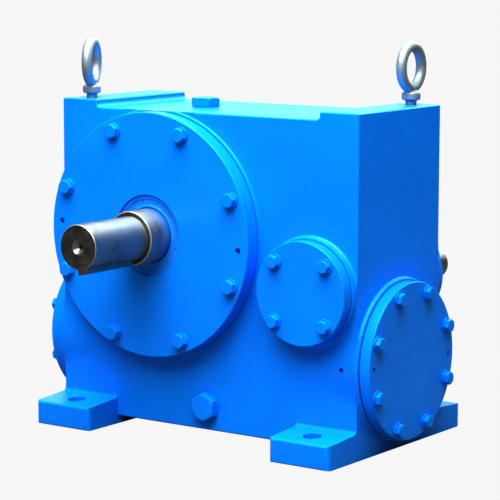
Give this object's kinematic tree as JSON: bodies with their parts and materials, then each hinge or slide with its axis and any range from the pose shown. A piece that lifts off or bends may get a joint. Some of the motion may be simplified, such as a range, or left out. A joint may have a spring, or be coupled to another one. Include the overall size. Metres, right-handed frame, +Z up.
{
  "type": "industrial gearbox",
  "caption": "Foot-mounted two-stage worm gearbox: blue cast housing with bolted round covers, a keyed output shaft at the front, a keyed input shaft at the back, plugs and lifting eyes.",
  "frame": {"origin": "on the floor, at the centre of the gearbox's overall length and width", "axes": "+X to the right seen from the output shaft's side, along the intermediate shaft; +Y from the output shaft's end towards the input shaft's end; +Z up"},
  "size_m": [0.7312, 0.652, 0.713],
  "materials": {
    "blue_enamel": "gloss machine enamel over cast iron, with a faint orange-peel texture",
    "turned_steel": "turned, with fine lathe rings",
    "bright_zinc": "bright zinc plate on a forging",
    "gasket_fibre": "matt pressed fibre, blue where paint reached its edge",
    "seal_rubber": "painted over, satin",
    "wheel_bronze": "cut bronze, satin",
    "hub_iron": "as cast",
    "bearing_steel": "ground"
  },
  "bodies": {
    "casing": {"drain_plug": "blue_enamel", "eyebolt_left": "bright_zinc", "eyebolt_right": "bright_zinc", "filler_plug": "blue_enamel", "housing": "blue_enamel", "input_bearing_front": "bearing_steel", "input_bearing_rear": "bearing_steel", "input_blind_cover": "blue_enamel", "input_blind_gasket": "gasket_fibre", "input_cover_bolt_1": "blue_enamel", "input_cover_bolt_2": "blue_enamel", "input_cover_bolt_3": "blue_enamel", "input_cover_bolt_4": "blue_enamel", "input_seal": "seal_rubber", "input_seal_cover": "blue_enamel", "input_seal_gasket": "gasket_fibre", "intermediate_bearing_left": "bearing_steel", "intermediate_bearing_right": "bearing_steel", "left_cover_bolt_1": "blue_enamel", "left_cover_bolt_2": "blue_enamel", "left_cover_bolt_3": "blue_enamel", "left_cover_bolt_4": "blue_enamel", "left_cover_bolt_5": "blue_enamel", "left_cover_bolt_6": "blue_enamel", "left_cover_bolt_7": "blue_enamel", "left_cover_bolt_8": "blue_enamel", "left_side_cover": "blue_enamel", "left_side_gasket": "gasket_fibre", "output_bearing_front": "bearing_steel", "output_bearing_rear": "bearing_steel", "output_cover": "blue_enamel", "output_cover_bolt_1": "blue_enamel", "output_cover_bolt_2": "blue_enamel", "output_cover_bolt_3": "blue_enamel", "output_cover_bolt_4": "blue_enamel", "output_cover_bolt_5": "blue_enamel", "output_cover_bolt_6": "blue_enamel", "output_cover_bolt_7": "blue_enamel", "output_cover_bolt_8": "blue_enamel", "output_gasket": "gasket_fibre", "output_seal": "seal_rubber", "rear_output_cover": "blue_enamel", "right_cover_bolt_1": "blue_enamel", "right_cover_bolt_2": "blue_enamel", "right_cover_bolt_3": "blue_enamel", "right_cover_bolt_4": "blue_enamel", "right_cover_bolt_5": "blue_enamel", "right_cover_bolt_6": "blue_enamel", "right_cover_bolt_7": "blue_enamel", "right_cover_bolt_8": "blue_enamel", "right_side_cover": "blue_enamel", "right_side_gasket": "gasket_fibre"},
    "output_train": {"output_shaft": "turned_steel", "output_key": "turned_steel", "output_wheel_rim": "wheel_bronze", "output_wheel_hub": "hub_iron"},
    "intermediate_train": {"intermediate_worm_shaft": "turned_steel", "intermediate_wheel": "wheel_bronze"},
    "input_train": {"input_worm_shaft": "turned_steel", "input_key": "turned_steel"}
  },
  "joints": [
    {"name": "output_spin", "type": "hinge", "parent": "casing", "child": "output_train", "pos_m": [-0.1, 0.039, 0.364], "axis": [0, 1, 0], "continuous": true},
    {"name": "intermediate_spin", "type": "hinge", "parent": "casing", "child": "intermediate_train", "pos_m": [0, 0.039, 0.159], "axis": [1, 0, 0], "continuous": true},
    {"name": "input_spin", "type": "hinge", "parent": "casing", "child": "input_train", "pos_m": [0.23, 0.039, 0.2885], "axis": [0, 1, 0], "continuous": true}
  ],
  "couplings": [
    {"joint": "intermediate_spin", "follows": "output_spin", "ratio": 10},
    {"joint": "input_spin", "follows": "output_spin", "ratio": 60}
  ]
}
